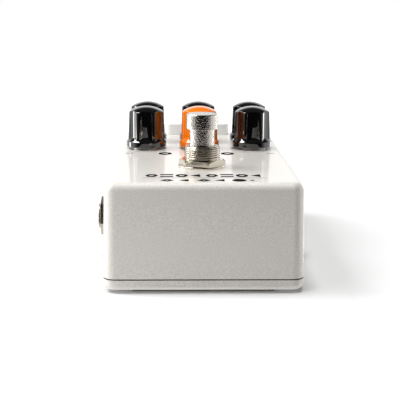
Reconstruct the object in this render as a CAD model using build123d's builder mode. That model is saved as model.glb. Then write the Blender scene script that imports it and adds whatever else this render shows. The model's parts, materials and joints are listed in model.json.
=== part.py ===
"""A six-knob guitar effects pedal in a die-cast box, as an assembly of separate pieces.

Frame: the origin lies on the resting plane under the middle of the case. +X is the player's right,
+Y points away from the player, +Z is up. Lengths are in millimetres.
"""

import os
from math import cos, radians, tan

from build123d import *

os.makedirs("parts", exist_ok=True)

# ---------------------------------------------------------------- driving dimensions

clearance = 0.05  # radial play between a screw, bush or shaft and its hole
seat_gap = 0.02  # play between pieces that are pushed or bonded together

# Case: a drafted box, open below, closed by a cast base plate.
case_width = 66.2  # at the open rim
case_length = 121.2  # at the open rim
case_height = 31.7  # rim to top face
case_draft = 1.2  # degrees, on all four sides
case_wall = 2.2
top_wall = 2.4
corner_radius = 4.2
inner_corner_radius = 2.0
top_fillet = 2.6
post_size = 8.0  # square screw posts in the corners
post_inset = 5.5  # post centre from the rim's outer edge
post_hole_depth = 12.0

pad_thickness = 0.8
pad_inset = 3.4
pad_corner_radius = 4.0
pad_screw_hole_radius = 4.6

plate_height = 4.1  # underside to seam
plate_floor = 2.2
plate_edge_fillet = 2.2
seam_groove = 0.35  # height of the dark line between case and plate
seam_depth = 0.7
lip_height = 1.6  # stands up inside the case's rim
lip_wall = 1.4
lip_gap = 0.25
lip_corner_gap = 0.6

screw_radius = 1.75
screw_head_radius = 3.3
screw_length = 11.0
screw_slot_width = 1.0
screw_slot_depth = 1.0

# Controls: three columns and two rows of potentiometers.
column_pitch = 20.9
front_row_y = 14.4
rear_row_y = 32.7

knob_lift = 0.8  # underside of the knob above the top face
knob_height = 15.9
knob_skirt_radius = 7.85
knob_skirt_height = 2.2
knob_grip_radius = 7.35
knob_grip_taper = 2.0  # degrees
knob_dome_sag = 2.1
knob_cone_rise = 2.1  # the skirt's sloped top rises this far towards the grip
knob_cone_run = 2.3
knob_flutes = 7
flute_radius = 6.4
flute_depth = 1.15
ridge_radius = 0.45
knob_recess_radius = 6.4
knob_recess_depth = 3.4
knob_top_thickness = 3.2

pointer_width = 1.0
pointer_depth = 0.4
pointer_start = 3.0  # from the knob's axis
pointer_drop = 9.0  # how far down the side it runs

pot_width = 9.8
pot_length = 11.4
pot_height = 7.0
pot_bush_radius = 3.5
pot_bush_top = 2.9  # above the top face
pot_washer_radius = 5.4
pot_washer_thickness = 0.5
pot_nut_across_flats = 10.0
pot_nut_thickness = 1.9
pot_shaft_radius = 3.0
pot_shaft_chamfer = 0.4
pot_rotor_radius = 4.2
pot_rotor_height = 1.6
pot_base_thickness = 1.4

# Footswitch
switch_y = -28.0
button_cap_radius = 5.55
button_cap_height = 5.25
button_neck_radius = 4.35
button_cap_edge = 0.45
button_cap_top = 18.7  # above the top face
button_flange_radius = 4.95
button_flange_height = 1.5
button_rod_radius = 1.6
button_travel = 2.0
switch_bush_radius = 6.0
switch_bush_top = 7.5  # above the top face
switch_bush_drop = 5.7  # below the inside of the top wall
switch_shoulder_drop = 0.5  # retaining shoulder above the top wall's outside
switch_nut_across_flats = 14.6
switch_nut_thickness = 2.0
switch_nut_turn = 16.0  # degrees
switch_washer_radius = 8.3
switch_washer_thickness = 0.8
switch_washer_round = 0.25
switch_bush_chamfer = 0.3
switch_case_corner = 1.2
switch_lock_nut_thickness = 2.0
switch_case_size = 15.0
switch_case_height = 14.5
switch_well_floor = 4.6  # above the case's underside
switch_contact_thickness = 0.3
switch_contact_gap = 0.2  # left when the button is fully down
lug_width = 2.4
lug_thickness = 0.6
lug_length = 4.2
lug_spacing = 7.5
spring_wire_radius = 0.35
spring_coils = 5

# Jacks: quarter-inch sockets, two on each side, with nuts outside.
jack_front_y = -12.8
jack_rear_y = case_length / 2 - 17.6
jack_axis_height = 6.6  # above the main board
jack_housing_width = 14.0
jack_housing_height = 12.4
jack_housing_length = 25.0
jack_sleeve_radius = 4.7
jack_bore_radius = 3.25
jack_sleeve_inside = 6.5
jack_cavity_radius = 3.6
jack_end_wall = 1.5
jack_washer_radius = 7.3
jack_washer_thickness = 0.9
jack_nut_across_flats = 12.7
jack_nut_thickness = 3.0
jack_nut_turn = 12.0  # degrees
jack_sleeve_proud = 0.9  # past the nut
leaf_width = 2.4
leaf_thickness = 0.4
leaf_length = 13.0
leaf_pocket_depth = 2.4
leaf_pocket_overlap = 0.6  # how far the pocket cuts into the plug's way
leaf_setback = 1.0  # from the sleeve's inner end
leaf_plug_gap = 0.1  # left between a leaf's bump and the bore
sleeve_mouth_chamfer = 0.35
housing_edge_chamfer = 1.0

# Power inlet in the rear wall
power_hole_radius = 5.5
power_housing_width = 9.2
power_housing_height = 11.0
power_housing_length = 14.0
power_axis_height = 6.5
power_bore_radius = 3.15
power_bore_depth = 10.0
power_pin_radius = 1.0
power_pin_length = 9.0
power_pin_root = 2.0  # held in the housing behind the bore
power_housing_round = 2.0
power_slot_start = 1.0  # behind the housing's face
power_slot_length = 8.0
power_slot_depth = 2.4
power_slot_drop = 0.6  # slot centre below the bore's wall
power_leaf_length = 7.6
power_leaf_bump_length = 2.6
power_leaf_bump_height = 1.4

# Boards
board_thickness = 1.6
main_board_z = 7.2  # underside
main_board_width = case_width - 9.2
main_board_front = -19.6
main_board_rear = case_length / 2 - 4.6
board_corner_notch = 8.4
control_board_front = 4.0
control_board_rear = case_length / 2 - 10.6
control_board_width = case_width - 10.2
tongue_width = 30.0
header_length = 20.0
header_width = 2.6
header_x = 24.5
header_y = 21.0
processor_size = 12.0
processor_y = 17.0
memory_size = (5.0, 6.4)
memory_places = [(-13.0, 14.0), (13.0, 14.0)]
amplifier_size = (4.0, 5.0)
amplifier_places = [(-12.0, 26.0), (12.0, 26.0)]
chip_height = 1.2
capacitor_places = [(-6.5, 30.0), (0.0, 30.0), (6.5, 30.0), (-16.0, 3.5), (16.0, 3.5)]
capacitor_radius = 2.5
capacitor_height = 5.5

# Frosted status window on the rear edge
window_width = 27.5
window_front = case_length / 2 - 9.0
window_depth = 5.4
window_height = 4.9
window_round = 2.0
window_edge = 0.5
window_foot_width = 22.0
window_foot_depth = 2.6
window_foot_drop = 3.6  # below the top face
led_width = 3.2
led_depth = 2.6
led_height = 1.6
led_pitch = 7.0

# ---------------------------------------------------------------- levels and places

rim_z = pad_thickness + plate_height
top_z = rim_z + case_height
ceiling_z = top_z - top_wall
draft_slope = tan(radians(case_draft))
post_x = case_width / 2 - post_inset
post_y = case_length / 2 - post_inset

main_board_top = main_board_z + board_thickness
jack_z = main_board_top + jack_axis_height
power_z = main_board_top + power_axis_height
control_board_top = ceiling_z - pot_height
control_board_z = control_board_top - board_thickness

switch_bush_bottom = ceiling_z - switch_bush_drop
switch_case_bottom = switch_bush_bottom - switch_case_height
flange_top = top_z + switch_shoulder_drop - seat_gap
contact_top = switch_case_bottom + switch_well_floor + switch_contact_thickness
rod_end = contact_top + switch_contact_gap + button_travel

knob_base = top_z + knob_lift
knob_top = knob_base + knob_height
shaft_top = knob_top - knob_top_thickness

columns = {"left": -column_pitch, "center": 0.0, "right": column_pitch}
rows = {"front": front_row_y, "rear": rear_row_y}
controls = {f"{r}_{c}": (x, y) for r, y in rows.items() for c, x in columns.items()}


def half_width(z):
    """Half the case's outside width at height z."""
    return case_width / 2 - (z - rim_z) * draft_slope


# The washers stand square on a drafted wall, so they touch it at their lowest point.
jack_seat = half_width(jack_z - jack_washer_radius) + seat_gap
jack_housing_face = half_width(jack_z + jack_housing_height / 2) - case_wall - seat_gap
jack_sleeve_end = jack_seat + jack_washer_thickness + jack_nut_thickness + jack_sleeve_proud
jacks = {
    "input_left": (1, jack_rear_y),
    "input_right": (1, jack_front_y),
    "output_left": (-1, jack_rear_y),
    "output_right": (-1, jack_front_y),
}


def jack_plane(side, y, distance):
    """A plane square to a jack's axis, facing out of the case, at a distance from the case's middle."""
    return Plane(origin=(side * distance, y, jack_z), x_dir=(0, side, 0), z_dir=(side, 0, 0))


def axis_plane(x, y):
    """The upright plane through a vertical axis, with its own y as height."""
    return Plane(origin=(x, y, 0), x_dir=(1, 0, 0), z_dir=(0, -1, 0))


def save(part, name):
    """Labels a finished piece and writes it as one STEP file."""
    part.label = name
    export_step(part, f"parts/{name}.step")


# ---------------------------------------------------------------- case

with BuildPart() as enclosure:
    with BuildSketch(Plane.XY.offset(rim_z)):
        RectangleRounded(case_width, case_length, corner_radius)
    extrude(amount=case_height, taper=case_draft)
    fillet(enclosure.faces().sort_by(Axis.Z)[-1].edges(), top_fillet)
    with BuildSketch(Plane.XY.offset(rim_z)):
        RectangleRounded(case_width - 2 * case_wall, case_length - 2 * case_wall, inner_corner_radius)
    extrude(amount=case_height - top_wall, taper=case_draft, mode=Mode.SUBTRACT)
    with BuildSketch(Plane.XY.offset(rim_z)):
        with GridLocations(2 * post_x, 2 * post_y, 2, 2):
            RectangleRounded(post_size, post_size, post_size / 4)
    extrude(amount=case_height - top_wall / 2)
    with BuildSketch(Plane.XY.offset(rim_z)):
        with GridLocations(2 * post_x, 2 * post_y, 2, 2):
            Circle(screw_radius + clearance)
    extrude(amount=post_hole_depth, mode=Mode.SUBTRACT)
    # Top face: potentiometers, footswitch and the window's foot.
    with BuildSketch(Plane.XY.offset(ceiling_z)):
        with Locations(*controls.values()):
            Circle(pot_bush_radius + clearance)
        with Locations((0, switch_y)):
            Circle(switch_bush_radius + clearance)
        with Locations((0, window_front + window_depth / 2)):
            Rectangle(window_foot_width + 2 * seat_gap, window_foot_depth + 2 * seat_gap)
    extrude(amount=top_wall, mode=Mode.SUBTRACT)
    for side, y in jacks.values():
        with BuildSketch(jack_plane(side, y, case_width / 2)):
            Circle(jack_sleeve_radius + clearance)
        extrude(amount=-2 * case_wall, mode=Mode.SUBTRACT)
    with BuildSketch(Plane(origin=(0, case_length / 2, power_z), z_dir=(0, 1, 0))):
        Circle(power_hole_radius)
    extrude(amount=-2 * case_wall, mode=Mode.SUBTRACT)
save(enclosure.part, "enclosure")

with BuildPart() as base_plate:
    with BuildSketch(Plane.XY.offset(pad_thickness)):
        RectangleRounded(case_width, case_length, corner_radius)
    extrude(amount=plate_height)
    fillet(base_plate.faces().sort_by(Axis.Z)[0].edges(), plate_edge_fillet)
    # A shallow tray inside, with a block under each screw post.
    with BuildSketch(Plane.XY.offset(pad_thickness + plate_floor)):
        RectangleRounded(case_width - 2 * case_wall, case_length - 2 * case_wall, inner_corner_radius)
        with GridLocations(2 * post_x, 2 * post_y, 2, 2):
            Rectangle(post_size + 2 * lip_corner_gap, post_size + 2 * lip_corner_gap, mode=Mode.SUBTRACT)
    extrude(amount=plate_height - plate_floor, mode=Mode.SUBTRACT)
    # The lip that centres the plate in the rim, left out round the posts.
    lip_width = case_width - 2 * (case_wall + lip_gap)
    lip_length = case_length - 2 * (case_wall + lip_gap)
    with BuildSketch(Plane.XY.offset(pad_thickness + plate_floor)):
        Rectangle(lip_width, lip_length)
        Rectangle(lip_width - 2 * lip_wall, lip_length - 2 * lip_wall, mode=Mode.SUBTRACT)
        with GridLocations(2 * post_x, 2 * post_y, 2, 2):
            Rectangle(post_size + 2 * lip_corner_gap, post_size + 2 * lip_corner_gap, mode=Mode.SUBTRACT)
    extrude(amount=plate_height - plate_floor + lip_height)
    # A groove round the seam.
    with BuildSketch(Plane.XY.offset(rim_z - seam_groove)):
        Rectangle(case_width + 2, case_length + 2)
        RectangleRounded(
            case_width - 2 * seam_depth,
            case_length - 2 * seam_depth,
            corner_radius - seam_depth,
            mode=Mode.SUBTRACT,
        )
    extrude(amount=seam_groove, mode=Mode.SUBTRACT)
    with Locations(Plane(origin=(0, 0, pad_thickness), z_dir=(0, 0, -1))):
        with GridLocations(2 * post_x, 2 * post_y, 2, 2):
            CounterSinkHole(screw_radius + clearance, screw_head_radius + clearance, plate_height * 2, 90)
save(base_plate.part, "base_plate")

with BuildPart() as base_screws:
    head_cone = screw_head_radius - screw_radius
    for x, y in [(sx * post_x, sy * post_y) for sx in (-1, 1) for sy in (-1, 1)]:
        with BuildSketch(axis_plane(x, y)):
            with BuildLine():
                Polyline(
                    (0, pad_thickness),
                    (screw_head_radius, pad_thickness),
                    (screw_radius, pad_thickness + head_cone),
                    (screw_radius, pad_thickness + screw_length),
                    (0, pad_thickness + screw_length),
                    close=True,
                )
            make_face()
        revolve(axis=Axis((x, y, 0), (0, 0, 1)))
        with BuildSketch(Plane.XY.offset(pad_thickness)):
            with Locations((x, y)):
                Rectangle(2 * screw_radius + screw_slot_width, screw_slot_width)
                Rectangle(screw_slot_width, 2 * screw_radius + screw_slot_width)
        extrude(amount=screw_slot_depth, mode=Mode.SUBTRACT)
save(base_screws.part, "base_screws")

with BuildPart() as grip_pad:
    with BuildSketch():
        RectangleRounded(case_width - 2 * pad_inset, case_length - 2 * pad_inset, pad_corner_radius)
        with GridLocations(2 * post_x, 2 * post_y, 2, 2):
            Circle(pad_screw_hole_radius, mode=Mode.SUBTRACT)
    extrude(amount=pad_thickness)
save(grip_pad.part, "grip_pad")

# ---------------------------------------------------------------- boards

with BuildPart() as main_board:
    with BuildSketch(Plane.XY.offset(main_board_z)):
        with Locations((0, (main_board_front + main_board_rear) / 2)):
            Rectangle(main_board_width, main_board_rear - main_board_front)
        with Locations((-main_board_width / 2, main_board_rear), (main_board_width / 2, main_board_rear)):
            Rectangle(2 * board_corner_notch, 2 * board_corner_notch, mode=Mode.SUBTRACT)
    extrude(amount=board_thickness)
save(main_board.part, "main_board")

with BuildPart() as control_board:
    with BuildSketch(Plane.XY.offset(control_board_z)):
        with Locations((0, (control_board_front + control_board_rear) / 2)):
            Rectangle(control_board_width, control_board_rear - control_board_front)
        tongue_rear = window_front + window_depth
        with Locations((0, (control_board_rear + tongue_rear) / 2)):
            Rectangle(tongue_width, tongue_rear - control_board_rear)
    extrude(amount=board_thickness)
save(control_board.part, "control_board")

with BuildPart() as board_headers:
    with BuildSketch(Plane.XY.offset(main_board_top)):
        with Locations((-header_x, header_y), (header_x, header_y)):
            Rectangle(header_width, header_length)
    extrude(amount=control_board_z - main_board_top)
    fillet(board_headers.edges().filter_by(Axis.Z), header_width / 5)
save(board_headers.part, "board_headers")

with BuildPart() as processor_chips:
    with BuildSketch(Plane.XY.offset(main_board_top)):
        with Locations((0, processor_y)):
            Rectangle(processor_size, processor_size)
        with Locations(*memory_places):
            Rectangle(*memory_size)
        with Locations(*amplifier_places):
            Rectangle(*amplifier_size)
    extrude(amount=chip_height)
    chamfer(processor_chips.faces().group_by(Axis.Z)[-1].edges(), chip_height / 8)
save(processor_chips.part, "processor_chips")

with BuildPart() as capacitors:
    with BuildSketch(Plane.XY.offset(main_board_top)):
        with Locations(*capacitor_places):
            Circle(capacitor_radius)
    extrude(amount=capacitor_height)
    fillet(capacitors.faces().group_by(Axis.Z)[-1].edges(), capacitor_radius / 6)
save(capacitors.part, "capacitors")

# ---------------------------------------------------------------- status window

window_y = window_front + window_depth / 2

with BuildPart() as status_window:
    with BuildSketch(Plane.XY.offset(top_z)):
        with Locations((0, window_y)):
            RectangleRounded(window_width, window_depth, window_round)
    extrude(amount=window_height)
    fillet(status_window.faces().sort_by(Axis.Z)[-1].edges(), window_edge)
    with BuildSketch(Plane.XY.offset(top_z - window_foot_drop)):
        with Locations((0, window_y)):
            Rectangle(window_foot_width, window_foot_depth)
    extrude(amount=window_foot_drop)
save(status_window.part, "status_window")

with BuildPart() as status_leds:
    with BuildSketch(Plane.XY.offset(control_board_top)):
        with Locations((0, window_y)):
            with GridLocations(led_pitch, 1, 3, 1):
                Rectangle(led_width, led_depth)
    extrude(amount=led_height)
save(status_leds.part, "status_leds")

# ---------------------------------------------------------------- power inlet

# The inside of the rear wall leans, so the housing clears it at its own top edge.
power_face = (
    case_length / 2
    - (main_board_top + power_housing_height - rim_z) * draft_slope
    - case_wall
    - seat_gap
)


def power_plane(distance):
    """A plane square to the power inlet's axis, facing the rear."""
    return Plane(origin=(0, distance, power_z), x_dir=(-1, 0, 0), z_dir=(0, 1, 0))


with BuildPart() as power_housing:
    with BuildSketch(Plane.XY.offset(main_board_top)):
        with Locations((0, power_face - power_housing_length / 2)):
            Rectangle(power_housing_width, power_housing_length)
    extrude(amount=power_housing_height)
    fillet(power_housing.faces().sort_by(Axis.Z)[-1].edges().filter_by(Axis.Y), power_housing_round)
    with BuildSketch(power_plane(power_face)):
        Circle(power_bore_radius)
    extrude(amount=-power_bore_depth, mode=Mode.SUBTRACT)
    with BuildSketch(power_plane(power_face - power_bore_depth)):
        Circle(power_pin_radius + seat_gap)
    extrude(amount=-power_pin_root, mode=Mode.SUBTRACT)
    # A slot under the bore for the outer contact.
    with BuildSketch(power_plane(power_face - power_slot_start)):
        with Locations((0, -power_bore_radius - power_slot_drop)):
            Rectangle(leaf_width + 2 * seat_gap, power_slot_depth)
    extrude(amount=-power_slot_length, mode=Mode.SUBTRACT)
save(power_housing.part, "power_housing")

with BuildPart() as power_pin:
    with BuildSketch(power_plane(power_face - power_bore_depth - power_pin_root)):
        Circle(power_pin_radius)
    extrude(amount=power_pin_length + power_pin_root)
    fillet(power_pin.faces().sort_by(Axis.Y)[-1].edges(), power_pin_radius / 2)
save(power_pin.part, "power_pin")

with BuildPart() as power_contact:
    slot_middle = power_face - power_slot_start - power_slot_length / 2
    contact_floor = power_z - power_bore_radius - power_slot_drop - power_slot_depth / 2
    with BuildSketch(Plane(origin=(-leaf_width / 2, 0, 0), x_dir=(0, 1, 0), z_dir=(1, 0, 0))):
        with Locations((slot_middle, contact_floor + leaf_thickness / 2)):
            Rectangle(power_leaf_length, leaf_thickness)
        with Locations((slot_middle, contact_floor + power_leaf_bump_height / 2)):
            Rectangle(power_leaf_bump_length, power_leaf_bump_height)
    extrude(amount=leaf_width)
save(power_contact.part, "power_contact")

# ---------------------------------------------------------------- jacks

pocket_height = leaf_pocket_depth + 2 * leaf_pocket_overlap
pocket_middle = jack_cavity_radius + leaf_pocket_depth / 2 - leaf_pocket_overlap

for name, (side, y) in jacks.items():
    with BuildPart() as jack_housing:
        with BuildSketch(jack_plane(side, y, jack_housing_face)):
            with Locations((0, jack_housing_height / 2 - jack_axis_height)):
                Rectangle(jack_housing_width, jack_housing_height)
        extrude(amount=-jack_housing_length)
        long_edges = jack_housing.edges().filter_by(Axis.X).group_by(Axis.Z)[-1]
        chamfer(long_edges, housing_edge_chamfer)
        with BuildSketch(jack_plane(side, y, jack_housing_face)):
            Circle(jack_sleeve_radius + seat_gap)
        extrude(amount=-jack_sleeve_inside, mode=Mode.SUBTRACT)
        with BuildSketch(jack_plane(side, y, jack_housing_face)):
            Circle(jack_cavity_radius)
        extrude(amount=jack_end_wall - jack_housing_length, mode=Mode.SUBTRACT)
        # Pockets for the two contact leaves, above and beside the plug.
        with BuildSketch(jack_plane(side, y, jack_housing_face - jack_sleeve_inside - leaf_setback)):
            with Locations((0, pocket_middle)):
                Rectangle(leaf_width + 2 * seat_gap, pocket_height)
            with Locations((-pocket_middle, 0)):
                Rectangle(pocket_height, leaf_width + 2 * seat_gap)
        extrude(amount=-leaf_length - 2 * seat_gap, mode=Mode.SUBTRACT)
    save(jack_housing.part, f"{name}_jack_housing")

    with BuildPart() as jack_sleeve:
        with BuildSketch(jack_plane(side, y, jack_housing_face - jack_sleeve_inside)):
            Circle(jack_sleeve_radius)
            Circle(jack_bore_radius, mode=Mode.SUBTRACT)
        extrude(amount=jack_sleeve_end - jack_housing_face + jack_sleeve_inside)
        mouth = jack_sleeve.edges().filter_by(GeomType.CIRCLE).sort_by(Axis.X)
        mouth = mouth[-2:] if side > 0 else mouth[:2]
        chamfer(mouth, sleeve_mouth_chamfer)
    save(jack_sleeve.part, f"{name}_jack_sleeve")

with BuildPart() as jack_washers:
    for side, y in jacks.values():
        with BuildSketch(jack_plane(side, y, jack_seat)):
            Circle(jack_washer_radius)
            Circle(jack_sleeve_radius + clearance, mode=Mode.SUBTRACT)
        extrude(amount=jack_washer_thickness)
save(jack_washers.part, "jack_washers")

with BuildPart() as jack_nuts:
    nut_start = jack_seat + jack_washer_thickness
    corner_circle = jack_nut_across_flats / 2 / cos(radians(30))
    for side, y in jacks.values():
        with BuildSketch(jack_plane(side, y, nut_start)):
            RegularPolygon(corner_circle, 6, rotation=side * jack_nut_turn)
            Circle(jack_sleeve_radius + clearance, mode=Mode.SUBTRACT)
        extrude(amount=jack_nut_thickness)
save(jack_nuts.part, "jack_nuts")


def leaf_profile(reach):
    """Side view of a contact leaf, along +X from its fixed end: flat, then a bump towards the plug."""
    Polyline(
        (0, 0),
        (0.30 * leaf_length, 0),
        (0.55 * leaf_length, -reach),
        (0.70 * leaf_length, -reach),
        (0.95 * leaf_length, 0),
        (leaf_length, 0),
        (leaf_length, leaf_thickness),
        (0.95 * leaf_length - 0.2, leaf_thickness),
        (0.70 * leaf_length - 0.1, leaf_thickness - reach),
        (0.55 * leaf_length + 0.1, leaf_thickness - reach),
        (0.30 * leaf_length + 0.2, leaf_thickness),
        (0, leaf_thickness),
        close=True,
    )


leaf_top = jack_cavity_radius + leaf_pocket_depth - leaf_thickness
leaf_reach = leaf_top - jack_bore_radius - leaf_plug_gap
leaf_x = jack_housing_face - jack_sleeve_inside - leaf_setback - leaf_length - seat_gap

with BuildPart() as jack_tip_leaves:
    for side, y in jacks.values():
        origin = (side * leaf_x, y + leaf_width / 2, jack_z + leaf_top)
        with BuildSketch(Plane(origin=origin, x_dir=(side, 0, 0), z_dir=(0, -side, 0))):
            with BuildLine():
                leaf_profile(leaf_reach)
            make_face()
        extrude(amount=side * leaf_width)
save(jack_tip_leaves.part, "jack_tip_leaves")

with BuildPart() as jack_ring_leaves:
    for side, y in jacks.values():
        origin = (side * leaf_x, y - side * leaf_top, jack_z - leaf_width / 2)
        with BuildSketch(Plane(origin=origin, x_dir=(side, 0, 0), z_dir=(0, 0, -1))):
            with BuildLine():
                leaf_profile(leaf_reach)
            make_face()
        extrude(amount=-leaf_width)
save(jack_ring_leaves.part, "jack_ring_leaves")

# ---------------------------------------------------------------- footswitch

switch_axis = Axis((0, switch_y, 0), (0, 0, 1))

with BuildPart() as footswitch_bushing:
    with BuildSketch(axis_plane(0, switch_y)):
        with BuildLine():
            bore = button_neck_radius + clearance
            well = button_flange_radius + clearance
            Polyline(
                (bore, top_z + switch_bush_top),
                (switch_bush_radius - switch_bush_chamfer, top_z + switch_bush_top),
                (switch_bush_radius, top_z + switch_bush_top - switch_bush_chamfer),
                (switch_bush_radius, switch_bush_bottom),
                (well, switch_bush_bottom),
                (well, top_z + switch_shoulder_drop),
                (bore, top_z + switch_shoulder_drop),
                close=True,
            )
        make_face()
    revolve(axis=switch_axis)
save(footswitch_bushing.part, "footswitch_bushing")

with BuildPart() as footswitch_washer:
    with BuildSketch(Plane.XY.offset(top_z)):
        with Locations((0, switch_y)):
            Circle(switch_washer_radius)
            Circle(switch_bush_radius + clearance, mode=Mode.SUBTRACT)
    extrude(amount=switch_washer_thickness)
    top_edges = footswitch_washer.edges().group_by(Axis.Z)[-1]
    fillet(top_edges.sort_by(SortBy.LENGTH)[-1], switch_washer_round)
save(footswitch_washer.part, "footswitch_washer")


def hex_nut(across_flats, thickness, hole_radius, base, turn):
    """A hexagon nut on the footswitch's axis, its upper corners turned off at 30 degrees."""
    corner = across_flats / 2 / cos(radians(30))
    outer = corner + 1
    with BuildPart() as nut:
        with BuildSketch(Plane.XY.offset(base)):
            with Locations((0, switch_y)):
                RegularPolygon(corner, 6, rotation=30 + turn)
        extrude(amount=thickness)
        with BuildSketch(axis_plane(0, switch_y)):
            with BuildLine():
                Polyline(
                    (hole_radius, base),
                    (outer, base),
                    (outer, base + thickness - (outer - across_flats / 2) * tan(radians(30))),
                    (across_flats / 2, base + thickness),
                    (hole_radius, base + thickness),
                    close=True,
                )
            make_face()
        revolve(axis=switch_axis, mode=Mode.INTERSECT)
    return nut.part


thread_hole = switch_bush_radius + clearance
save(
    hex_nut(
        switch_nut_across_flats,
        switch_nut_thickness,
        thread_hole,
        top_z + switch_washer_thickness,
        switch_nut_turn,
    ),
    "footswitch_nut",
)
save(
    hex_nut(
        switch_nut_across_flats,
        switch_lock_nut_thickness,
        thread_hole,
        ceiling_z - switch_lock_nut_thickness,
        0,
    ),
    "footswitch_lock_nut",
)

with BuildPart() as footswitch_case:
    with BuildSketch(Plane.XY.offset(switch_case_bottom)):
        with Locations((0, switch_y)):
            RectangleRounded(switch_case_size, switch_case_size, switch_case_corner)
    extrude(amount=switch_case_height)
    with BuildSketch(Plane.XY.offset(switch_case_bottom + switch_well_floor)):
        with Locations((0, switch_y)):
            Circle(button_flange_radius + clearance)
    extrude(amount=switch_case_height, mode=Mode.SUBTRACT)
    with BuildSketch(Plane.XY.offset(switch_case_bottom)):
        with Locations((0, switch_y)):
            with GridLocations(lug_spacing, 1, 2, 1):
                Rectangle(lug_thickness + 2 * seat_gap, lug_width + 2 * seat_gap)
    extrude(amount=switch_well_floor, mode=Mode.SUBTRACT)
save(footswitch_case.part, "footswitch_case")

with BuildPart() as footswitch_lugs:
    with BuildSketch(Plane.XY.offset(switch_case_bottom - lug_length)):
        with Locations((0, switch_y)):
            with GridLocations(lug_spacing, 1, 2, 1):
                Rectangle(lug_thickness, lug_width)
    extrude(amount=lug_length + switch_well_floor)
    with BuildSketch(Plane(origin=(0, switch_y, switch_case_bottom - lug_length / 2), z_dir=(1, 0, 0))):
        Circle(lug_width / 4)
    extrude(amount=lug_spacing, both=True, mode=Mode.SUBTRACT)
save(footswitch_lugs.part, "footswitch_lugs")

with BuildPart() as footswitch_contact:
    with BuildSketch(Plane.XY.offset(switch_case_bottom + switch_well_floor)):
        with Locations((0, switch_y)):
            Circle(button_flange_radius - clearance)
    extrude(amount=switch_contact_thickness)
save(footswitch_contact.part, "footswitch_contact")

with BuildPart() as footswitch_button:
    cap_top = top_z + button_cap_top
    cap_bottom = cap_top - button_cap_height
    with BuildSketch(axis_plane(0, switch_y)):
        with BuildLine():
            Polyline(
                (0, cap_top),
                (button_cap_radius, cap_top),
                (button_cap_radius, cap_bottom),
                (button_neck_radius, cap_bottom),
                (button_neck_radius, flange_top),
                (button_flange_radius, flange_top),
                (button_flange_radius, flange_top - button_flange_height),
                (button_rod_radius, flange_top - button_flange_height),
                (button_rod_radius, rod_end),
                (0, rod_end),
                close=True,
            )
        make_face()
    revolve(axis=switch_axis)
    fillet(footswitch_button.faces().sort_by(Axis.Z)[-1].edges(), button_cap_edge)
save(footswitch_button.part, "footswitch_button")

with BuildPart() as footswitch_spring:
    spring_radius = (button_flange_radius + button_rod_radius) / 2
    spring_bottom = contact_top + spring_wire_radius
    spring_top = flange_top - button_flange_height - spring_wire_radius
    with BuildLine():
        Helix(
            pitch=(spring_top - spring_bottom) / spring_coils,
            height=spring_top - spring_bottom,
            radius=spring_radius,
            center=(0, switch_y, spring_bottom),
        )
    with BuildSketch(Plane(origin=(spring_radius, switch_y, spring_bottom), z_dir=(0, 1, 0))):
        Circle(spring_wire_radius)
    sweep(is_frenet=True)
save(footswitch_spring.part, "footswitch_spring")

# ---------------------------------------------------------------- potentiometers

with BuildPart() as pot_housings:
    for x, y in controls.values():
        with BuildSketch(Plane.XY.offset(control_board_top)):
            with Locations((x, y)):
                Rectangle(pot_width, pot_length)
        extrude(amount=pot_height)
        with BuildSketch(Plane.XY.offset(ceiling_z)):
            with Locations((x, y)):
                Circle(pot_bush_radius)
        extrude(amount=top_wall + pot_bush_top)
        # Shaft bore, and the chamber that the rotor turns in.
        with BuildSketch(Plane.XY.offset(control_board_top + pot_base_thickness)):
            with Locations((x, y)):
                Circle(pot_shaft_radius + clearance)
        extrude(amount=pot_height + top_wall + pot_bush_top, mode=Mode.SUBTRACT)
        with BuildSketch(Plane.XY.offset(control_board_top + pot_base_thickness)):
            with Locations((x, y)):
                Circle(pot_rotor_radius + clearance)
        extrude(amount=pot_rotor_height + 2 * clearance, mode=Mode.SUBTRACT)
save(pot_housings.part, "pot_housings")

with BuildPart() as pot_washers:
    with BuildSketch(Plane.XY.offset(top_z)):
        with Locations(*controls.values()):
            Circle(pot_washer_radius)
            Circle(pot_bush_radius + clearance, mode=Mode.SUBTRACT)
    extrude(amount=pot_washer_thickness)
save(pot_washers.part, "pot_washers")

with BuildPart() as pot_nuts:
    with BuildSketch(Plane.XY.offset(top_z + pot_washer_thickness)):
        with Locations(*controls.values()):
            RegularPolygon(pot_nut_across_flats / 2 / cos(radians(30)), 6)
            Circle(pot_bush_radius + clearance, mode=Mode.SUBTRACT)
    extrude(amount=pot_nut_thickness)
save(pot_nuts.part, "pot_nuts")

with BuildPart() as pot_shaft:
    rotor_z = control_board_top + pot_base_thickness + clearance
    with BuildSketch(Plane.XY.offset(rotor_z)):
        Circle(pot_rotor_radius)
    extrude(amount=pot_rotor_height)
    with BuildSketch(Plane.XY.offset(rotor_z)):
        Circle(pot_shaft_radius)
    extrude(amount=shaft_top - seat_gap - rotor_z)
    chamfer(pot_shaft.faces().sort_by(Axis.Z)[-1].edges(), pot_shaft_chamfer)

# ---------------------------------------------------------------- knobs

knob_axis = Axis((0, 0, 0), (0, 0, 1))
grip_shoulder_z = knob_top - knob_dome_sag
grip_shoulder_radius = knob_grip_radius - (grip_shoulder_z - knob_base) * tan(radians(knob_grip_taper))


def dome_outline(inset):
    """Half section of the domed, slightly tapered grip, drawn a given depth inside its surface."""
    foot = (knob_grip_radius - inset, knob_base)
    shoulder = (grip_shoulder_radius - inset, grip_shoulder_z - inset / 2)
    crown = (0, knob_top - inset)
    Polyline(crown, (0, knob_base), foot, shoulder)
    TangentArc(crown, shoulder, tangent=(1, 0))


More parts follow.
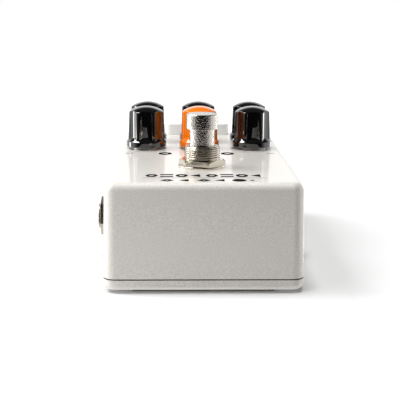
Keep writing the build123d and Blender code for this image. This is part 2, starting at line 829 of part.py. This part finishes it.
with BuildPart() as fluted_grip:
    with BuildSketch(Plane.XY.offset(knob_base)) as grip_outline:
        Circle(knob_grip_radius)
        # A flute faces -Y, so that a ridge, where the pointer lies, faces +Y.
        with PolarLocations(knob_grip_radius + flute_radius - flute_depth, knob_flutes, -90):
            Circle(flute_radius, mode=Mode.SUBTRACT)
        fillet(grip_outline.vertices(), ridge_radius)
    extrude(amount=knob_height)
    with BuildSketch(axis_plane(0, 0)):
        with BuildLine():
            dome_outline(0)
        make_face()
    revolve(axis=knob_axis, mode=Mode.INTERSECT)

# The groove that the pointer lies in: a block from the skirt's edge inwards, outside an inset dome.
with BuildPart() as pointer_groove:
    with BuildSketch(Plane.XY.offset(knob_top - pointer_drop)):
        with Locations((0, (pointer_start + knob_skirt_radius + 1) / 2)):
            Rectangle(pointer_width, knob_skirt_radius + 1 - pointer_start)
    extrude(amount=pointer_drop + 1)
    with BuildSketch(axis_plane(0, 0)):
        with BuildLine():
            dome_outline(pointer_depth)
        make_face()
    revolve(axis=knob_axis, mode=Mode.SUBTRACT)

with BuildPart() as pointer:
    add(pointer_groove.part)
    add(fluted_grip.part, mode=Mode.INTERSECT)

with BuildPart() as knob:
    add(fluted_grip.part)
    add(pointer_groove.part, mode=Mode.SUBTRACT)
    with BuildSketch(axis_plane(0, 0)):
        with BuildLine():
            Polyline(
                (knob_recess_radius / 2, knob_base),
                (knob_skirt_radius, knob_base),
                (knob_skirt_radius, knob_base + knob_skirt_height),
                (knob_skirt_radius - knob_cone_run, knob_base + knob_skirt_height + knob_cone_rise),
                (knob_recess_radius / 2, knob_base + knob_skirt_height + knob_cone_rise),
                close=True,
            )
        make_face()
    revolve(axis=knob_axis)
    with BuildSketch(Plane.XY.offset(knob_base)):
        Circle(knob_recess_radius)
    extrude(amount=knob_recess_depth, mode=Mode.SUBTRACT)
    with BuildSketch(Plane.XY.offset(knob_base)):
        Circle(pot_shaft_radius + seat_gap)
    extrude(amount=shaft_top - knob_base, mode=Mode.SUBTRACT)

for name, (x, y) in controls.items():
    place = Location((x, y, 0))
    save(knob.part.moved(place), f"{name}_knob")
    save(pointer.part.moved(place), f"{name}_pointer")
    save(pot_shaft.part.moved(place), f"{name}_shaft")
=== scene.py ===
import json
from math import pi, radians

import bpy
from mathutils import Matrix, Vector

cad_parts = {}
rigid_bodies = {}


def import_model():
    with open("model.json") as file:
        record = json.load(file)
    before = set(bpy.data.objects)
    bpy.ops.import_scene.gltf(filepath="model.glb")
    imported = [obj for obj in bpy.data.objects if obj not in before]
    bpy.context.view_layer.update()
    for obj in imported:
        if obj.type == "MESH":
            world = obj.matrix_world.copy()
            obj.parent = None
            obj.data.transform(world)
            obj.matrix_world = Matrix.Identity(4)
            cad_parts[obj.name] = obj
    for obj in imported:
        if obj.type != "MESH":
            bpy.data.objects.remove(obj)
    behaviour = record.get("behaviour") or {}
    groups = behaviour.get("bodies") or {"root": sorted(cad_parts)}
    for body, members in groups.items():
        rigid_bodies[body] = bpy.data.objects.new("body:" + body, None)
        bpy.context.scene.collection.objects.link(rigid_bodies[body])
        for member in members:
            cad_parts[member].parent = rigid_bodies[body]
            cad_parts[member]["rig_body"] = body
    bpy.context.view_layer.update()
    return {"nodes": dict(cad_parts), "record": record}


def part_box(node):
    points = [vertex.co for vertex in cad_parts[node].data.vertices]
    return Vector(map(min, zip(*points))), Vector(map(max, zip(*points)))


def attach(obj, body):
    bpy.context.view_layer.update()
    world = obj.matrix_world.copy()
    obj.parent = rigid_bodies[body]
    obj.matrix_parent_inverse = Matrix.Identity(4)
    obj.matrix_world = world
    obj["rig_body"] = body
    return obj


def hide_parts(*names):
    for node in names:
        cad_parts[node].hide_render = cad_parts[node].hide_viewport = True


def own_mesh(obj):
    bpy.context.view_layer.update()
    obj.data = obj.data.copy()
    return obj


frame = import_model()
nodes = frame["nodes"]

MM = 0.001

# ---------------------------------------------------------------- places taken from the frame

case_low, case_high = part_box("enclosure")
top_z = case_high[2]
# Half the height of the groove between case and base plate, and its middle.
seam_reach = 0.2 * MM
seam_middle = case_low[2] - seam_reach
switch_low, switch_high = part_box("footswitch_bushing")
switch_x = (switch_low[0] + switch_high[0]) / 2
switch_y = (switch_low[1] + switch_high[1]) / 2
nut_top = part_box("footswitch_nut")[1][2]

rows = ("front", "rear")
columns = ("left", "center", "right")
controls = [f"{row}_{column}" for row in rows for column in columns]
jacks = ("input_left", "input_right", "output_left", "output_right")


def middle(node):
    """The middle of a node's box."""
    low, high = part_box(node)
    return Vector((low[i] + high[i]) / 2 for i in range(3))


# ---------------------------------------------------------------- materials


def plain_material(name, color, roughness, metallic=0.0, coat=0.0, coat_roughness=0.05):
    """A Principled material, with its single values on the shader's own sockets."""
    material = bpy.data.materials.new(name)
    material.use_nodes = True
    shader = material.node_tree.nodes["Principled BSDF"]
    shader.inputs["Base Color"].default_value = (*color, 1.0)
    shader.inputs["Roughness"].default_value = roughness
    shader.inputs["Metallic"].default_value = metallic
    shader.inputs["Coat Weight"].default_value = coat
    shader.inputs["Coat Roughness"].default_value = coat_roughness
    return material, material.node_tree, shader


def add_noise(tree, scale, detail=2.0, roughness=0.5):
    """A noise pattern fixed to the object."""
    place = tree.nodes.new("ShaderNodeTexCoord")
    noise = tree.nodes.new("ShaderNodeTexNoise")
    noise.inputs["Scale"].default_value = scale
    noise.inputs["Detail"].default_value = detail
    noise.inputs["Roughness"].default_value = roughness
    tree.links.new(place.outputs["Object"], noise.inputs["Vector"])
    return noise


def remap(tree, source, low, high, start=0.3, end=0.7, interpolation="LINEAR"):
    """Maps a value's range from start to end onto low to high."""
    node = tree.nodes.new("ShaderNodeMapRange")
    node.interpolation_type = interpolation
    node.inputs["From Min"].default_value = start
    node.inputs["From Max"].default_value = end
    node.inputs["To Min"].default_value = low
    node.inputs["To Max"].default_value = high
    tree.links.new(source, node.inputs["Value"])
    return node.outputs["Result"]


# A Mix node has sockets of every kind, so those for colour are picked by number.
mix_factor = 0
mix_first = 6
mix_second = 7
mix_result = 2


def tint(tree, factor, first, second):
    """A colour between first and second, each of them a plain colour or a node's output."""
    node = tree.nodes.new("ShaderNodeMix")
    node.data_type = "RGBA"
    for socket, color in ((mix_first, first), (mix_second, second)):
        if isinstance(color, bpy.types.NodeSocket):
            tree.links.new(color, node.inputs[socket])
        else:
            node.inputs[socket].default_value = (*color, 1.0)
    tree.links.new(factor, node.inputs[mix_factor])
    return node.outputs[mix_result]


def add_bump(tree, shader, height, strength, distance):
    """Relief from a pattern."""
    bump = tree.nodes.new("ShaderNodeBump")
    bump.inputs["Strength"].default_value = strength
    bump.inputs["Distance"].default_value = distance
    tree.links.new(height, bump.inputs["Height"])
    tree.links.new(bump.outputs["Normal"], shader.inputs["Normal"])


def grey(level):
    """A neutral colour."""
    return (level, level, level)


def seam_painted_shade(tree, unshaded_color):
    """Paints shade into a finish: a near-black band in the groove between case and base plate stands in
    for the shade that falls there.
    """
    place = tree.nodes.new("ShaderNodeTexCoord")
    split = tree.nodes.new("ShaderNodeSeparateXYZ")
    groove = tree.nodes.new("ShaderNodeMath")
    groove.operation = "COMPARE"
    groove.inputs[1].default_value = seam_middle
    groove.inputs[2].default_value = seam_reach
    tree.links.new(place.outputs["Object"], split.inputs["Vector"])
    tree.links.new(split.outputs["Z"], groove.inputs[0])
    return tint(tree, groove.outputs["Value"], unshaded_color, grey(0.02))


def silver_paint():
    """Silver-white metallic lacquer with a fine sparkle under a clear coat."""
    material, tree, shader = plain_material(
        "silver_paint",
        (0.72, 0.69, 0.65),
        roughness=0.42,
        metallic=0.25,
        coat=0.6,
        coat_roughness=0.04,
    )
    flake = add_noise(tree, 2600.0, 1.0)
    cloud = add_noise(tree, 45.0, 3.0)
    speck = remap(tree, flake.outputs["Fac"], 0.0, 1.0, start=0.28, end=0.72)
    color = tint(tree, speck, (0.66, 0.633, 0.593), (0.81, 0.78, 0.735))
    # The dark band in the groove between case and base plate is painted shade.
    tree.links.new(seam_painted_shade(tree, color), shader.inputs["Base Color"])
    tree.links.new(remap(tree, cloud.outputs["Fac"], 0.38, 0.46), shader.inputs["Roughness"])
    add_bump(tree, shader, flake.outputs["Fac"], strength=0.02, distance=0.01 * MM)
    return material


def gloss_plastic(name, color, haze):
    """Moulded glossy plastic with faint handling haze."""
    material, tree, shader = plain_material(name, color, roughness=0.1, coat=1.0, coat_roughness=0.02)
    shader.inputs["Coat IOR"].default_value = 1.8
    shader.inputs["Specular IOR Level"].default_value = 0.3
    smudge = add_noise(tree, 190.0, 4.0)
    light = [min(1.0, c + haze) for c in color]
    tree.links.new(tint(tree, smudge.outputs["Fac"], color, light), shader.inputs["Base Color"])
    tree.links.new(remap(tree, smudge.outputs["Fac"], 0.05, 0.10), shader.inputs["Roughness"])
    return material


def plated_metal(name, color, smooth, rough, grain=420.0, relief=0.0):
    """Plated or machined metal with slightly uneven polish."""
    material, tree, shader = plain_material(name, color, roughness=smooth, metallic=1.0)
    polish = add_noise(tree, grain, 4.0)
    dark = [c * 0.94 for c in color]
    tree.links.new(tint(tree, polish.outputs["Fac"], dark, color), shader.inputs["Base Color"])
    tree.links.new(remap(tree, polish.outputs["Fac"], smooth, rough), shader.inputs["Roughness"])
    if relief:
        add_bump(tree, shader, polish.outputs["Fac"], strength=0.5, distance=relief)
    return material


def matte_material(name, dark, light, grain, roughness, relief=0.0, shine=0.5):
    """A matte finish mottled between two close colours."""
    material, tree, shader = plain_material(name, light, roughness)
    shader.inputs["Specular IOR Level"].default_value = shine
    mottle = add_noise(tree, grain, 3.0)
    tree.links.new(tint(tree, mottle.outputs["Fac"], dark, light), shader.inputs["Base Color"])
    if relief:
        add_bump(tree, shader, mottle.outputs["Fac"], strength=0.5, distance=relief)
    return material


def frosted_window_painted_glow():
    """Milky plastic with a faint painted glow: an emission that lightens the window, standing in for
    light.
    """
    material, tree, shader = plain_material("frosted_plastic", (0.66, 0.66, 0.65), roughness=0.36)
    frost = add_noise(tree, 700.0, 3.0)
    color = tint(tree, frost.outputs["Fac"], (0.80, 0.79, 0.78), (0.90, 0.89, 0.87))
    # This emission is a painted glow, not a lamp.
    shader.inputs["Emission Color"].default_value = (1.0, 1.0, 0.98, 1.0)
    shader.inputs["Emission Strength"].default_value = 0.14
    tree.links.new(color, shader.inputs["Base Color"])
    return material


finishes = {
    "silver_paint": silver_paint(),
    "zinc_steel": plated_metal("zinc_steel", (0.62, 0.62, 0.63), smooth=0.26, rough=0.38),
    "grip_rubber": matte_material(
        "grip_rubber", grey(0.012), grey(0.03), grain=900.0, roughness=0.85, relief=0.05 * MM
    ),
    "circuit_board": matte_material(
        "circuit_board", (0.008, 0.08, 0.035), (0.015, 0.13, 0.06), grain=300.0, roughness=0.4
    ),
    "black_plastic": matte_material(
        "black_plastic", (0.018, 0.018, 0.019), (0.032, 0.032, 0.033), grain=500.0, roughness=0.5
    ),
    "capacitor_can": plated_metal("capacitor_can", (0.6, 0.61, 0.64), smooth=0.3, rough=0.4),
    "frosted_plastic": frosted_window_painted_glow(),
    "nickel": plated_metal("nickel", (0.70, 0.645, 0.55), smooth=0.09, rough=0.18),
    "turned_nickel": plated_metal("turned_nickel", (0.58, 0.535, 0.455), smooth=0.2, rough=0.3),
    "chrome": plated_metal(
        "chrome", (0.70, 0.665, 0.61), smooth=0.05, rough=0.12, grain=1900.0, relief=0.45 * MM
    ),
    "contact_brass": plated_metal("contact_brass", (0.75, 0.55, 0.25), smooth=0.2, rough=0.32),
    "shaft_metal": plated_metal("shaft_metal", (0.66, 0.66, 0.67), smooth=0.25, rough=0.36),
    "black_gloss": gloss_plastic("black_gloss", (0.0004, 0.0004, 0.0005), haze=0.0006),
    "orange_gloss": gloss_plastic("orange_gloss", (0.82, 0.175, 0.002), haze=0.004),
    "pointer_white": matte_material(
        "pointer_white", (0.74, 0.74, 0.72), (0.84, 0.84, 0.82), grain=600.0, roughness=0.45
    ),
}
inks = {
    "black": matte_material(
        "black_ink", grey(0.002), grey(0.006), grain=900.0, roughness=0.7, shine=0.05
    ),
    "white": finishes["silver_paint"],
    "grey": matte_material("grey_ink", grey(0.1), grey(0.15), grain=900.0, roughness=0.7, shine=0.1),
}

node_slot = {entry["node"]: entry["material_slot"] for entry in frame["record"]["subparts"]}


def wear(obj, material):
    """Gives an object one material all over."""
    obj.data.materials.clear()
    obj.data.materials.append(material)


for name, obj in nodes.items():
    wear(obj, finishes[node_slot[name]])

# ---------------------------------------------------------------- modelling helpers


def deselect_all():
    """Leaves nothing selected, in object mode."""
    if bpy.context.mode != "OBJECT":
        bpy.ops.object.mode_set(mode="OBJECT")
    bpy.ops.object.select_all(action="DESELECT")


def select_only(*objs):
    """Selects these objects alone and makes the first one active."""
    deselect_all()
    for obj in objs:
        obj.select_set(True)
    bpy.context.view_layer.objects.active = objs[0]


def apply_modifiers(obj):
    """Applies all modifiers in order."""
    select_only(obj)
    for modifier in list(obj.modifiers):
        bpy.ops.object.modifier_apply(modifier=modifier.name)


def settle(obj):
    """Moves an object's place into its mesh."""
    select_only(obj)
    bpy.ops.object.transform_apply(location=True, rotation=True, scale=True)


def smooth(obj, degrees=32.0):
    """Smooth shading with crisp edges, and flat faces kept flat."""
    select_only(obj)
    bpy.ops.object.shade_smooth_by_angle(angle=radians(degrees))
    weighted = obj.modifiers.new("flat faces", "WEIGHTED_NORMAL")
    weighted.keep_sharp = True
    weighted.weight = 100
    apply_modifiers(obj)


def new_primitive(name, add, **settings):
    """Adds a primitive with nothing else selected, and names it."""
    deselect_all()
    add(**settings)
    obj = bpy.context.object
    obj.name = name
    return obj


def own_copy(obj, name):
    """A copy of an object with its own mesh."""
    copy = bpy.data.objects.new(name, obj.data.copy())
    bpy.context.scene.collection.objects.link(copy)
    return copy


def merged_copy(node, name):
    """A piece with a CAD node's shape, its loose triangles merged into whole faces."""
    obj = own_copy(nodes[node], name)
    select_only(obj)
    bpy.ops.object.mode_set(mode="EDIT")
    bpy.ops.mesh.select_all(action="SELECT")
    bpy.ops.mesh.remove_doubles(threshold=0.002 * MM)
    bpy.ops.mesh.dissolve_limited(angle_limit=radians(0.5), delimit={"SHARP"})
    bpy.ops.object.mode_set(mode="OBJECT")
    return obj


def take_place(obj, node):
    """The piece stands for a CAD node: its body, its finish and its place."""
    wear(obj, finishes[node_slot[node]])
    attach(obj, nodes[node]["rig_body"])
    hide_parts(node)


def machined(node, edge=0.12, degrees=32.0):
    """A hard piece whose edges are broken by a small bevel, in mm, so that they catch the light."""
    obj = merged_copy(node, f"{node}_finished")
    if edge:
        bevel = obj.modifiers.new("broken edge", "BEVEL")
        bevel.width = edge * MM
        bevel.segments = 2
        bevel.limit_method = "ANGLE"
        bevel.angle_limit = radians(35)
        apply_modifiers(obj)
    smooth(obj, degrees)
    take_place(obj, node)
    return obj


def moulded(node, name, voxel, passes):
    """A moulded piece: every edge rounded as a mould leaves it. The voxel size is in mm."""
    obj = merged_copy(node, name)
    remesh = obj.modifiers.new("one skin", "REMESH")
    remesh.mode = "VOXEL"
    remesh.voxel_size = voxel * MM
    relax = obj.modifiers.new("round edges", "SMOOTH")
    relax.factor = 0.5
    relax.iterations = passes
    apply_modifiers(obj)
    select_only(obj)
    bpy.ops.object.shade_smooth()
    return obj


def moved_copy(obj, name, offset):
    """A copy with its own mesh, moved by an offset."""
    copy = own_copy(obj, name)
    copy.location = offset
    settle(copy)
    return copy


# ---------------------------------------------------------------- case

for name in ("enclosure", "base_plate"):
    machined(name, edge=0.0, degrees=40.0)
machined("grip_pad", edge=0.1)
machined("base_screws", edge=0.05)
machined("status_window", edge=0.2)

# ---------------------------------------------------------------- knobs

# All six knobs come from one moulding.
knob_voxel = 0.15
knob_rounding = 9
first_node = f"{controls[0]}_knob"
first_knob = moulded(first_node, f"{first_node}_moulded", knob_voxel, knob_rounding)
for control in controls:
    node = f"{control}_knob"
    if node == first_node:
        knob = first_knob
    else:
        knob = moved_copy(first_knob, f"{node}_moulded", middle(node) - middle(first_node))
    take_place(knob, node)
    machined(f"{control}_pointer", edge=0.0)

machined("pot_washers", edge=0.0)
machined("pot_nuts", edge=0.1)

# ---------------------------------------------------------------- footswitch and sockets

turned_nickel = finishes["turned_nickel"]
machined("footswitch_button", edge=0.18)
machined("footswitch_nut", edge=0.15)
machined("footswitch_washer", edge=0.1)
wear(machined("footswitch_bushing", edge=0.1), turned_nickel)

# The return spring shortens as the button goes down.
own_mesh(machined("footswitch_spring", edge=0.0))

wear(machined("jack_nuts", edge=0.2), turned_nickel)
wear(machined("jack_washers", edge=0.15), turned_nickel)
for jack in jacks:
    wear(machined(f"{jack}_jack_sleeve", edge=0.1), turned_nickel)
    machined(f"{jack}_jack_housing", edge=0.0)


def screw_ridge(name, radius, height, pitch, length):
    """The crest of a screw thread, wound up +Z round the origin, with both ends closed."""
    corners = 3
    # The foot of the ridge is then nine tenths of a turn's rise wide.
    stretch = 0.52 * pitch / height
    steps_per_turn = 72
    ridge = new_primitive(
        name,
        bpy.ops.mesh.primitive_circle_add,
        vertices=corners,
        radius=height,
        fill_type="NGON",
        rotation=(pi / 2, 0, 0),
    )
    settle(ridge)
    bpy.ops.object.mode_set(mode="EDIT")
    bpy.ops.mesh.select_all(action="SELECT")
    bpy.ops.transform.rotate(value=-pi / 2, orient_axis="Y", center_override=(0, 0, 0))
    bpy.ops.transform.resize(value=(1, 1, stretch))
    bpy.ops.transform.translate(value=(radius, 0, 0))
    bpy.ops.mesh.delete(type="ONLY_FACE")
    bpy.ops.object.mode_set(mode="OBJECT")
    screw = ridge.modifiers.new("thread", "SCREW")
    screw.axis = "Z"
    screw.angle = 2 * pi
    screw.screw_offset = pitch
    screw.iterations = max(1, int(length / pitch))
    screw.steps = steps_per_turn
    screw.render_steps = steps_per_turn
    screw.use_smooth_shade = False
    apply_modifiers(ridge)
    bpy.ops.object.mode_set(mode="EDIT")
    bpy.ops.mesh.select_all(action="DESELECT")
    bpy.ops.mesh.select_mode(type="EDGE")
    bpy.ops.mesh.select_non_manifold()
    bpy.ops.mesh.edge_face_add()
    bpy.ops.mesh.select_all(action="SELECT")
    bpy.ops.mesh.normals_make_consistent(inside=False)
    bpy.ops.object.mode_set(mode="OBJECT")
    bpy.ops.object.shade_smooth_by_angle(angle=radians(25))
    return ridge


thread_pitch = 0.75 * MM
ridge_height = 0.26 * MM
plain_foot = 0.3 * MM
plain_rim = 0.5 * MM
bush_radius = (switch_high[0] - switch_low[0]) / 2
thread_start = nut_top + plain_foot
thread_room = switch_high[2] - plain_rim - thread_start
thread = screw_ridge("footswitch_thread", bush_radius, ridge_height, thread_pitch, thread_room)
thread.location = (switch_x, switch_y, thread_start)
settle(thread)
wear(thread, turned_nickel)
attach(thread, "case")

# ---------------------------------------------------------------- printed ornament

# Places and sizes on the top face are in mm.
ink_thickness = 0.03 * MM
ink_gap = 0.004 * MM
shapes_by_ink = {"black": [], "white": [], "grey": []}


def stamp(color, sides, x, y, width, depth, turn=0.0, lift=0):
    """A flat printed shape with the given number of sides, standing as proud as ink."""
    centre = (x * MM, y * MM, top_z + ink_gap + (lift + 0.5) * ink_thickness)
    shape = new_primitive(
        "printed_shape",
        bpy.ops.mesh.primitive_cylinder_add,
        vertices=sides,
        radius=0.5,
        depth=1.0,
        location=centre,
        rotation=(0, 0, radians(turn)),
    )
    settle(shape)
    bpy.ops.object.mode_set(mode="EDIT")
    bpy.ops.mesh.select_all(action="SELECT")
    bpy.ops.transform.resize(value=(width * MM, depth * MM, ink_thickness), center_override=centre)
    bpy.ops.object.mode_set(mode="OBJECT")
    shapes_by_ink[color].append(shape)


def bar(color, x, y, width, depth):
    """A printed rectangle: a square on its corner, turned upright."""
    corner_to_corner = 2**0.5
    stamp(color, 4, x, y, width * corner_to_corner, depth * corner_to_corner, turn=45.0)


def band(y, start, end, count, depth):
    """A row of plain marks: a six-sided ring, two bars, an eight-sided ring and a triangle, repeated."""
    step = (end - start) / count
    width = 0.86 * step
    bar_depth = 0.3 * depth
    bar_offset = 0.32 * depth
    hollow_width = 0.42 * width
    hollow_depth = 0.24 * depth
    for i in range(count):
        x = start + (i + 0.5) * step
        if i % 4 == 1:
            for side in (-1, 1):
                bar("black", x, y + side * bar_offset, width, bar_depth)
        elif i % 4 == 3:
            stamp("black", 3, x, y, width, depth, turn=90.0)
        else:
            sides = 6 if i % 4 == 0 else 8
            stamp("black", sides, x, y, width, depth, turn=22.5)
            stamp("white", sides, x, y, hollow_width, hollow_depth, turn=22.5, lift=1)


band(y=-46.0, start=-19.8, end=20.5, count=8, depth=5.6)
bar("grey", x=0.3, y=-50.2, width=41.0, depth=0.3)

# Between the band and the front edge stand hollow diamonds, triangles, a disc and a small hexagon.
icon_y = -54.4
for x in (-12.0, 0.0):
    stamp("black", 4, x, icon_y, width=4.6, depth=4.6)
    stamp("white", 4, x, icon_y, width=1.2, depth=1.2, lift=1)
for x in (-6.1, 5.6):
    stamp("black", 3, x, icon_y, width=4.4, depth=4.4, turn=90.0)
stamp("black", 40, 11.5, icon_y, width=4.6, depth=4.4)
stamp("black", 6, 15.8, icon_y, width=1.6, depth=1.6)

# In front of the knobs are two hexagon rings, a short rule at each side, and a rule for each column.
for x in (-13.3, 10.5):
    stamp("black", 6, x, 0.2, width=5.6, depth=6.4)
    stamp("white", 6, x, 0.2, width=2.4, depth=1.6, lift=1)
for x in (-27.0, 27.0):
    bar("grey", x, 1.0, width=3.0, depth=0.9)
for column in columns:
    bar("grey", middle(f"front_{column}_knob").x / MM, 4.4, width=8.5, depth=0.7)

for color, shapes in shapes_by_ink.items():
    select_only(*shapes)
    bpy.ops.object.join()
    sheet = bpy.context.object
    sheet.name = f"{color}_print"
    wear(sheet, inks[color])
    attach(sheet, "case")

# ---------------------------------------------------------------- floor, light and camera

floor_front = -0.17
floor_size = 6.0
floor_gap = 0.01 * MM
floor = new_primitive(
    "floor",
    bpy.ops.mesh.primitive_plane_add,
    size=floor_size,
    location=(0, floor_front + floor_size / 2, -floor_gap),
)
settle(floor)
floor_material, floor_tree, floor_shader = plain_material("pale_floor", grey(0.72), roughness=0.9)
floor_shader.inputs["Specular IOR Level"].default_value = 0.0
floor_shader.inputs["Emission Color"].default_value = (1.0, 1.0, 1.0, 1.0)


def glow_beyond(center, start, end, strength):
    """Light given off by the floor past a distance from a point, growing smoothly up to strength."""
    place = floor_tree.nodes.new("ShaderNodeTexCoord")
    gap = floor_tree.nodes.new("ShaderNodeVectorMath")
    gap.operation = "DISTANCE"
    gap.inputs[1].default_value = center
    floor_tree.links.new(place.outputs["Object"], gap.inputs[0])
    return remap(floor_tree, gap.outputs["Value"], 0.0, strength, start, end, "SMOOTHSTEP")


# The floor is lit brighter away from the object, until it is as white as the backdrop.
glow = glow_beyond(center=(0.02, 0.0, 0.0), start=0.13, end=0.5, strength=1.2)
floor_tree.links.new(glow, floor_shader.inputs["Emission Strength"])
wear(floor, floor_material)
floor.visible_glossy = False


def soft_box(name, size, place, target, power, mirrored=True, lights=True, height=None):
    """A soft light aimed at a point. It may show only in polished surfaces, or not at all in them."""
    light = bpy.data.lights.new(name, "AREA")
    light.shape = "RECTANGLE"
    light.size = size
    light.size_y = height or size
    light.energy = power
    obj = bpy.data.objects.new(name, light)
    obj.location = place
    obj.rotation_euler = (Vector(target) - Vector(place)).to_track_quat("-Z", "Y").to_euler()
    obj.visible_glossy = mirrored
    obj.visible_diffuse = lights
    obj.visible_camera = False
    bpy.context.scene.collection.objects.link(obj)


soft_box(
    "key_light",
    size=0.44,
    place=(-0.54, 0.11, 0.72),
    target=(0.0, 0.0, 0.02),
    power=6.6,
)
soft_box(
    "overhead_light",
    size=0.3,
    place=(0.0, -0.05, 0.9),
    target=(0.0, 0.0, 0.0),
    power=6.7,
    mirrored=False,
)
soft_box(
    "front_left_fill",
    size=0.2,
    place=(-0.30, -0.25, 0.10),
    target=(0.0, -0.06, 0.015),
    power=0.88,
    mirrored=False,
)
# Two upright strips that only draw bright streaks on the knobs and the metal.
soft_box(
    "streak_light",
    size=0.06,
    height=0.2,
    place=(-0.30, 0.10, 0.02),
    target=(0.0, 0.01, 0.045),
    power=0.25,
    lights=False,
)
soft_box(
    "right_streak_light",
    size=0.05,
    height=0.2,
    place=(0.24, 0.22, 0.02),
    target=(0.02, 0.01, 0.045),
    power=0.11,
    lights=False,
)

# A studio with a white backdrop and walls. It is dark behind the camera and overhead, so
# polished surfaces show black between bright streaks, but the camera sees white everywhere.
world = bpy.data.worlds.new("studio")
bpy.context.scene.world = world
world.use_nodes = True
sky = world.node_tree
backdrop = sky.nodes["Background"]
backdrop.inputs["Color"].default_value = (1.0, 1.0, 1.0, 1.0)
direction = sky.nodes.new("ShaderNodeTexCoord")


def wall_light(axis, start, end, low, high):
    """Brightness that changes smoothly along a direction."""
    along = sky.nodes.new("ShaderNodeVectorMath")
    along.operation = "DOT_PRODUCT"
    along.inputs[1].default_value = axis
    sky.links.new(direction.outputs["Generated"], along.inputs[0])
    return remap(sky, along.outputs["Value"], low, high, start, end, "SMOOTHSTEP")


def combine(operation, first, second):
    """Two brightnesses put together."""
    node = sky.nodes.new("ShaderNodeMath")
    node.operation = operation
    sky.links.new(first, node.inputs[0])
    sky.links.new(second, node.inputs[1])
    return node.outputs["Value"]


front_to_back = wall_light(axis=(0.0, 1.0, 0.0), start=-0.68, end=-0.1, low=0.015, high=1.0)
bottom_to_top = wall_light(axis=(0.0, 0.0, 1.0), start=0.38, end=0.65, low=1.0, high=0.05)
path = sky.nodes.new("ShaderNodeLightPath")
walls = combine("MULTIPLY", front_to_back, bottom_to_top)
brightness = combine("MAXIMUM", walls, path.outputs["Is Camera Ray"])
sky.links.new(brightness, backdrop.inputs["Strength"])
bpy.context.scene.view_settings.view_transform = "Standard"

# The camera's angles are in degrees.
camera_place = (-0.00873, -0.3554, 0.09396)
camera_heading = -1.418
camera_dip = 11.984
camera_roll = 0.28
camera_data = bpy.data.cameras.new("camera")
camera_data.sensor_width = 36.0
camera_data.lens = 84.7
camera_data.clip_start = 0.01
camera_data.clip_end = 20.0
camera = bpy.data.objects.new("camera", camera_data)
bpy.context.scene.collection.objects.link(camera)
camera.matrix_world = (
    Matrix.Translation(camera_place)
    @ Matrix.Rotation(radians(camera_heading), 4, "Z")
    @ Matrix.Rotation(radians(90.0 - camera_dip), 4, "X")
    @ Matrix.Rotation(radians(camera_roll), 4, "Z")
)
bpy.context.scene.camera = camera
